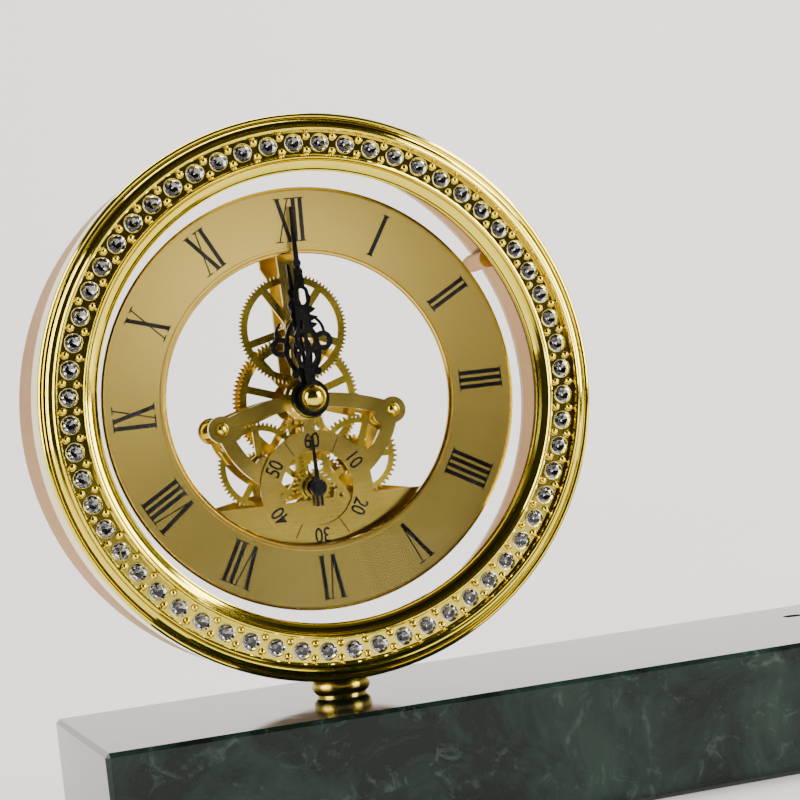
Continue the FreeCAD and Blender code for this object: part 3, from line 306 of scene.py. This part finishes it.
def battery_skin():
    """Dark cell sleeve with a copper coloured band at one end."""
    material, tree, shader = start("battery_skin", (0.02, 0.02, 0.022), roughness=0.25, Coat_Weight=0.3)
    where = place(tree)
    along = add(tree, "ShaderNodeSeparateXYZ", {0: where}).outputs["X"]
    low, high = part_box("battery")
    edge = low.x + (high.x - low.x) * 0.72
    band = spread(tree, along, 0.0, 1.0, edge, edge + 0.0002)
    tree.links.new(blend(tree, band, (0.02, 0.02, 0.022), (0.50, 0.22, 0.07)), shader.inputs["Base Color"])
    tree.links.new(spread(tree, band, 0.0, 0.85, 0.0, 1.0), shader.inputs["Metallic"])
    tree.links.new(spread(tree, noise(tree, where, 150.0), 0.2, 0.34), shader.inputs["Roughness"])
    return material


def circuit_green():
    """Solder mask with the faint relief of the tracks under it."""
    material, tree, shader = start("circuit_green", (0.01, 0.09, 0.03), roughness=0.3, Coat_Weight=0.2)
    where = place(tree)
    tracks = add(tree, "ShaderNodeTexBrick", {"Vector": where, "Scale": 260.0, "Mortar Size": 0.03})
    mask = tracks.outputs["Fac"]
    tree.links.new(blend(tree, mask, (0.008, 0.075, 0.025), (0.03, 0.17, 0.06)), shader.inputs["Base Color"])
    tree.links.new(spread(tree, noise(tree, where, 300.0), 0.25, 0.4), shader.inputs["Roughness"])
    bump(tree, shader, mask, 0.00003)
    return material


GOLD = (0.87, 0.71, 0.075)
MATERIALS = {
    "marble": marble(),
    "felt": felt(),
    "polished_gold": worn_metal("polished_gold", GOLD, 0.05, 0.10),
    "setting_gold": worn_metal("setting_gold", (0.84, 0.69, 0.10), 0.08, 0.15, 1500.0),
    "bezel_gold": worn_metal("bezel_gold", GOLD, 0.05, 0.10, turned=True),
    "lip_gold": worn_metal("lip_gold", (0.86, 0.74, 0.32), 0.10, 0.18, 1500.0),
    "collar_gold": worn_metal("collar_gold", (0.64, 0.46, 0.07), 0.20, 0.30, 1200.0),
    "dial_gold": dial_metal("dial_gold", (0.76, 0.57, 0.13), 0.245, 0.27),
    "plate_brass": brushed_metal("plate_brass", (0.68, 0.51, 0.10), 0.16, 0.26),
    "wheel_brass": brushed_metal("wheel_brass", (0.86, 0.65, 0.08), 0.14, 0.24, (500.0, 500.0, 60.0)),
    "champagne": brushed_metal("champagne", (0.54, 0.37, 0.23), 0.30, 0.40, (400.0, 60.0, 400.0),
                               edge=(0.70, 0.52, 0.36), turned=True),
    "glass": clear("front_glass", (1.0, 1.0, 1.0), 0.01, 0.004),
    "clear_plastic": clear("clear_plastic", (0.97, 0.98, 1.0), 0.03, 0.009),
    "hand_black": lacquer("hand_black", (0.003, 0.003, 0.003), 0.14, 0.22),
    "ink": lacquer("printed_ink", (0.003, 0.003, 0.003), 0.2, 0.3),
    "steel": worn_metal("polished_steel", (0.62, 0.61, 0.60), 0.12, 0.22),
    "rubber_black": lacquer("black_rubber", (0.015, 0.015, 0.015), 0.6, 0.8),
    "box_plastic": lacquer("box_plastic", (0.03, 0.03, 0.032), 0.35, 0.5),
    "copper_wire": brushed_metal("copper_wire", (0.85, 0.38, 0.20), 0.2, 0.32, (900.0, 900.0, 60.0)),
    "battery_skin": battery_skin(),
    "board": circuit_green(),
}
CROWN, FOIL = crystal_crown(), crystal_foil()
FINER_LOOK = {
    "bezel_ring": "bezel_gold",
    "stone_setting": "setting_gold",
    "foot_collar": "collar_gold",
    "hand_nut": "setting_gold",
    "bridge_screws": "setting_gold",
    "seconds_ring_rivets": "plate_brass",
}


def wear_slots():
    """Each CAD piece takes the material of its slot, or a finer one; the plain stones are replaced later."""
    for part in frame["record"]["subparts"]:
        name, slot = part["node"], part["material_slot"]
        piece = frame["nodes"][name]
        piece.data.materials.clear()
        piece.data.materials.append(MATERIALS.get(FINER_LOOK.get(name, slot), CROWN))


# ---------------------------------------------------------------- meshes

def new_piece(name, points, faces, materials, body="clock"):
    """A piece that rides on a body, from points in the part's frame."""
    mesh = bpy.data.meshes.new(name)
    mesh.from_pydata(points, [], faces)
    mesh.update()
    for material in materials:
        mesh.materials.append(material)
    piece = bpy.data.objects.new(name, mesh)
    bpy.context.scene.collection.objects.link(piece)
    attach(piece, body)
    return piece


# ---------------------------------------------------------------- stones

STONE_COUNT = 60
STONE_RING = 72.0
STONE_RADIUS = 2.5
LIP_RING, LIP_TUBE, LIP_Y = 2.58, 0.09, -0.04


def stone_rings():
    """The corner rings of a brilliant cut: corners, share of the radius, y, and turn in degrees."""
    crown = [(8, 0.56, 0.02 - TABLE_RISE, 0.0), (8, 0.80, -0.45, 22.5), (16, 1.0, -0.08, 0.0)]
    return crown + [(16, 1.0, 0.06, 0.0), (8, 0.55, 0.5, 22.5), (1, 0.0, 0.95, 0.0)]


def stone_points(x, z, turn):
    points = []
    for count, share, y, shift in stone_rings():
        for i in range(count):
            angle = turn + math.radians(360.0 * i / count + shift)
            reach = STONE_RADIUS * share
            points.append(at(x + reach * math.cos(angle), y, z + reach * math.sin(angle)))
    return points


def stone_faces():
    """The facets, and which of them are silvered."""
    table, star, girdle, low, pavilion, tip = 0, 8, 16, 32, 48, 56
    faces, silvered = [tuple(table + i for i in range(8))], [0]
    for i in range(8):
        j, back_one = (i + 1) % 8, (i - 1) % 8
        a, b, c = 2 * i, 2 * i + 1, (2 * i + 2) % 16
        crown = [(table + i, table + j, star + i), (table + i, star + i, girdle + a, star + back_one)]
        crown += [(star + i, girdle + b, girdle + a), (star + i, girdle + c, girdle + b)]
        band = [(girdle + a, girdle + b, low + b, low + a), (girdle + b, girdle + c, low + c, low + b)]
        back = [(low + a, low + b, pavilion + i), (low + b, low + c, pavilion + i)]
        back += [(low + a, pavilion + i, tip, pavilion + back_one)]
        faces += crown + band + back
        silvered += [0] * (len(crown) + len(band)) + [1] * len(back)
    return faces, silvered


def make_stones():
    points, faces, silvered = [], [], []
    facets, foil = stone_faces()
    for n in range(STONE_COUNT):
        angle = math.radians(90 + n * 360 / STONE_COUNT)
        offset = len(points)
        points += stone_points(STONE_RING * math.cos(angle), STONE_RING * math.sin(angle), angle)
        faces += [tuple(offset + i for i in facet) for facet in facets]
        silvered += foil
    piece = new_piece("cut_stones", points, faces, [CROWN, FOIL])
    for polygon, foiled in zip(piece.data.polygons, silvered):
        polygon.material_index = foiled
    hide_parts("crystals")


def make_stone_lips():
    """The thin bright lip that is rolled over the girdle of each stone."""
    points, faces = [], []
    around, section = 24, 6
    for n in range(STONE_COUNT):
        angle = math.radians(90 + n * 360 / STONE_COUNT)
        x, z = STONE_RING * math.cos(angle), STONE_RING * math.sin(angle)
        offset = len(points)
        for i in range(around):
            turn = math.radians(360 * i / around)
            for j in range(section):
                bend = math.radians(360 * j / section)
                reach = LIP_RING + LIP_TUBE * math.cos(bend)
                place_y = LIP_Y + LIP_TUBE * math.sin(bend)
                points.append(at(x + reach * math.cos(turn), place_y, z + reach * math.sin(turn)))
        for i in range(around):
            for j in range(section):
                a, b = offset + i * section, offset + (i + 1) % around * section
                k = (j + 1) % section
                faces.append((a + j, b + j, b + k, a + k))
    lips = new_piece("stone_lips", points, faces, [MATERIALS["lip_gold"]])
    lips.data.shade_smooth()


# ---------------------------------------------------------------- printing on the dial

DIAL_FRONT = 13.6
INK_THICK = 0.03
NUMERAL_LOW, NUMERAL_HIGH = 45.5, 58.2
THICK_STROKE, THIN_STROKE = 1.25, 0.42
SERIF, HALF_SERIF = 0.36, 1.1
PITCH = 2.05
NUMERALS = ("XII", "I", "II", "III", "IIII", "V", "VI", "VII", "VIII", "IX", "X", "XI")


def dial_depth(radius):
    """The front of the dished dial at a radius."""
    return DIAL_FRONT + (DIAL_RIM - radius) * DISH_SLOPE


def stroke_outline(u0, v0, u1, v1, width):
    """The four corners of a stroke that is cut off level at both ends."""
    half = width / 2
    return [(u0 - half, v0), (u0 + half, v0), (u1 + half, v1), (u1 - half, v1)]


def letter_strokes(letter, u):
    """Strokes and serifs of one letter that starts at u, and the width it takes."""
    low, high = NUMERAL_LOW, NUMERAL_HIGH
    bars = []
    if letter == "I":
        bars.append(stroke_outline(u + 1.0, low, u + 1.0, high, THICK_STROKE))
        feet, width = [(u + 1.0, low), (u + 1.0, high)], PITCH
    elif letter == "V":
        bars.append(stroke_outline(u + 1.0, high, u + 2.7, low, THICK_STROKE))
        bars.append(stroke_outline(u + 4.4, high, u + 2.9, low, THIN_STROKE))
        feet, width = [(u + 1.0, high), (u + 4.4, high)], 5.0
    else:
        bars.append(stroke_outline(u + 0.9, high, u + 4.2, low, THICK_STROKE))
        bars.append(stroke_outline(u + 4.2, high, u + 0.9, low, THIN_STROKE))
        feet, width = [(u + 0.9, low), (u + 0.9, high), (u + 4.2, low), (u + 4.2, high)], 4.8
    for centre, v in feet:
        left, right = centre - HALF_SERIF, centre + HALF_SERIF
        inner = v + (SERIF if v == low else -SERIF)
        bars.append([(left, v), (right, v), (right, inner), (left, inner)])
    return bars, width


def numeral_bars(text):
    """All strokes of a numeral, centred on its own axis."""
    bars, u = [], 0.0
    for letter in text:
        strokes, width = letter_strokes(letter, u)
        bars += strokes
        u += width
    return [[(a - u / 2, v) for a, v in bar] for bar in bars]


def printed(bar, turn, points, faces, pieces=6):
    """Adds a thin raised strip that follows the dish of the dial."""
    (a0, v0), (a1, v1), (b1, w1), (b0, w0) = bar
    offset = len(points)
    for i in range(pieces + 1):
        t = i / pieces
        for u, v in ((a0 + (b0 - a0) * t, v0 + (w0 - v0) * t), (a1 + (b1 - a1) * t, v1 + (w1 - v1) * t)):
            x = v * math.sin(turn) + u * math.cos(turn)
            z = v * math.cos(turn) - u * math.sin(turn)
            depth = dial_depth(math.hypot(x, z))
            points.append(at(x, depth - INK_THICK, z))
            points.append(at(x, depth + INK_THICK, z))
    for i in range(pieces):
        a = offset + 4 * i
        b = a + 4
        faces += [(a, a + 2, b + 2, b), (a + 1, b + 1, b + 3, a + 3)]
        faces += [(a, b, b + 1, a + 1), (a + 2, a + 3, b + 3, b + 2)]
    last = offset + 4 * pieces
    faces += [(offset, offset + 1, offset + 3, offset + 2), (last, last + 2, last + 3, last + 1)]


def make_numerals():
    points, faces = [], []
    for hour, text in enumerate(NUMERALS):
        for bar in numeral_bars(text):
            printed(bar, math.radians(30 * hour), points, faces)
    new_piece("dial_numerals", points, faces, [MATERIALS["ink"]])


SECONDS_AT = (0.0, -26.0)
SECONDS_FRONT = 20.2
DIGIT_SIZE = 6.2
DIGIT_SQUEEZE = 0.80
DIGIT_WEIGHT = 0.07
DIGIT_THICK = 0.02
TICK_HALF, TICK_LOW, TICK_HIGH = 0.14, 11.5, 16.0
TICK_SECONDS = (5, 25, 35, 55)
DIGIT_RING = 13.9


def make_digits():
    """Sixty, ten, twenty and so on, in the built-in typeface, tops outward."""
    for n in range(6):
        text = str(10 * n or 60)
        curve = bpy.data.curves.new("digits_" + text, "FONT")
        curve.body = text
        curve.size = DIGIT_SIZE * MM
        curve.align_x, curve.align_y = "CENTER", "CENTER"
        curve.extrude = DIGIT_THICK * MM
        curve.space_character = 0.95
        curve.offset = DIGIT_WEIGHT * MM
        letters = bpy.data.objects.new("letters", curve)
        bpy.context.scene.collection.objects.link(letters)
        bpy.context.view_layer.update()
        graph = bpy.context.evaluated_depsgraph_get()
        mesh = bpy.data.meshes.new_from_object(letters.evaluated_get(graph))
        bpy.data.objects.remove(letters)
        turn = math.radians(60 * n)
        x, z = SECONDS_AT[0] + DIGIT_RING * math.sin(turn), SECONDS_AT[1] + DIGIT_RING * math.cos(turn)
        spot = Matrix.Translation(at(x, SECONDS_FRONT - DIGIT_THICK, z))
        heights = [v.co.y for v in mesh.vertices]
        mesh.transform(Matrix.Translation((0, -(min(heights) + max(heights)) / 2, 0)))
        mesh.transform(Matrix.Diagonal((DIGIT_SQUEEZE, 1.0, 1.0, 1.0)))
        mesh.transform(spot @ Matrix.Rotation(turn, 4, "Y") @ Matrix.Rotation(math.pi / 2, 4, "X"))
        mesh.materials.clear()
        mesh.materials.append(MATERIALS["ink"])
        piece = bpy.data.objects.new("seconds_digits_" + text, mesh)
        bpy.context.scene.collection.objects.link(piece)
        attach(piece, "clock")


def make_ticks():
    """Long marks between the digits of the seconds ring."""
    points, faces = [], []
    corners = ((-TICK_HALF, TICK_LOW), (TICK_HALF, TICK_LOW), (TICK_HALF, TICK_HIGH), (-TICK_HALF, TICK_HIGH))
    for second in TICK_SECONDS:
        turn = math.radians(6 * second)
        offset = len(points)
        for depth in (SECONDS_FRONT - DIGIT_THICK, SECONDS_FRONT + DIGIT_THICK):
            for u, v in corners:
                x = SECONDS_AT[0] + v * math.sin(turn) + u * math.cos(turn)
                points.append(at(x, depth, SECONDS_AT[1] + v * math.cos(turn) - u * math.sin(turn)))
        sides = [(i, (i + 1) % 4, 4 + (i + 1) % 4, 4 + i) for i in range(4)]
        for face in [(3, 2, 1, 0), (4, 5, 6, 7)] + sides:
            faces.append(tuple(offset + i for i in face))
    new_piece("seconds_ticks", points, faces, [MATERIALS["ink"]])


# ---------------------------------------------------------------- studio

FLOOR_FRONT, FLOOR_BACK, SWEEP, WALL_TOP, HALF_WIDTH = -1.6, 0.9, 0.9, 3.4, 3.2


def make_sweep():
    """A pale floor that curves up into the backdrop."""
    profile = [(FLOOR_FRONT, 0.0)]
    for i in range(25):
        angle = math.radians(90 * i / 24)
        profile.append((FLOOR_BACK + SWEEP * math.sin(angle), SWEEP - SWEEP * math.cos(angle)))
    profile.append((FLOOR_BACK + SWEEP, WALL_TOP))
    points = [(x, y, z) for y, z in profile for x in (-HALF_WIDTH, HALF_WIDTH)]
    faces = [(2 * i, 2 * i + 1, 2 * i + 3, 2 * i + 2) for i in range(len(profile) - 1)]
    mesh = bpy.data.meshes.new("sweep")
    mesh.from_pydata(points, [], faces)
    mesh.shade_smooth()
    material, tree, shader = start("pale_paper", (0.84, 0.80, 0.77), roughness=0.8)
    bump(tree, shader, noise(tree, place(tree), 60.0), 0.0001)
    mesh.materials.append(material)
    sweep = bpy.data.objects.new("sweep", mesh)
    bpy.context.scene.collection.objects.link(sweep)


def softbox(name, place_at, aim, width, height, power, color=(1.0, 1.0, 1.0)):
    """A rectangular area light that faces a point."""
    light = bpy.data.lights.new(name, "AREA")
    light.shape = "RECTANGLE"
    light.size, light.size_y = width, height
    light.energy = power
    light.color = color
    lamp = bpy.data.objects.new(name, light)
    lamp.location = place_at
    lamp.rotation_mode = "QUATERNION"
    lamp.rotation_quaternion = (Vector(aim) - Vector(place_at)).to_track_quat("-Z", "Y")
    bpy.context.scene.collection.objects.link(lamp)


def make_lights():
    middle = (AXIS.x, AXIS.y, AXIS.z)
    softbox("left_box", (-1.5, -0.25, 0.55), middle, 1.0, 1.5, 40.0)
    softbox("right_box", (1.2, -1.2, 0.7), middle, 0.8, 1.3, 38.0)
    softbox("top_box", (0.1, 0.75, 2.0), (0.1, 0.5, 0.0), 2.4, 1.0, 44.0)
    softbox("wall_wash", (1.5, 0.2, 1.6), (0.7, 1.8, 0.4), 1.0, 1.0, 46.0)


def make_world():
    """Even pale surroundings behind, dark overhead and on the camera's side of the room."""
    world = bpy.data.worlds.new("room")
    world.use_nodes = True
    tree = world.node_tree
    toward = add(tree, "ShaderNodeTexCoord").outputs["Generated"]
    parts = add(tree, "ShaderNodeSeparateXYZ", {0: toward}).outputs
    behind = spread(tree, parts["Y"], 0.035, 0.8, -0.5, 0.4)
    lower = spread(tree, parts["Z"], 1.0, 0.3, 0.15, 0.7)
    tone = add(tree, "ShaderNodeMath", {0: behind, 1: lower}, operation="MULTIPLY").outputs[0]
    tree.links.new(tone, tree.nodes["Background"].inputs["Strength"])
    tree.nodes["Background"].inputs["Color"].default_value = (1.0, 0.985, 0.965, 1.0)
    bpy.context.scene.world = world


# ---------------------------------------------------------------- camera

CAMERA_AZIMUTH, CAMERA_ELEVATION, CAMERA_ROLL = 16.68, -0.56, -6.90
CAMERA_DISTANCE = 629.1
CAMERA_TARGET = (22.1, 0.0, -3.7)
CAMERA_LENS = 99.25


def make_camera():
    azimuth, elevation, roll = (math.radians(a) for a in (CAMERA_AZIMUTH, CAMERA_ELEVATION, CAMERA_ROLL))
    forward = Vector((math.sin(azimuth) * math.cos(elevation), math.cos(azimuth) * math.cos(elevation),
                      -math.sin(elevation)))
    level = Vector((math.cos(azimuth), -math.sin(azimuth), 0.0))
    upward = level.cross(forward)
    right = math.cos(roll) * level + math.sin(roll) * upward
    up = math.cos(roll) * upward - math.sin(roll) * level
    camera = bpy.data.objects.new("camera", bpy.data.cameras.new("camera"))
    camera.data.lens = CAMERA_LENS
    camera.data.clip_start = 0.01
    place_at = at(*CAMERA_TARGET) - forward * CAMERA_DISTANCE * MM
    camera.matrix_world = Matrix.Translation(place_at) @ Matrix((right, up, -forward)).transposed().to_4x4()
    bpy.context.scene.collection.objects.link(camera)
    bpy.context.scene.camera = camera


wear_slots()
make_stones()
make_stone_lips()
make_numerals()
make_digits()
make_ticks()
make_sweep()
make_lights()
make_world()
make_camera()
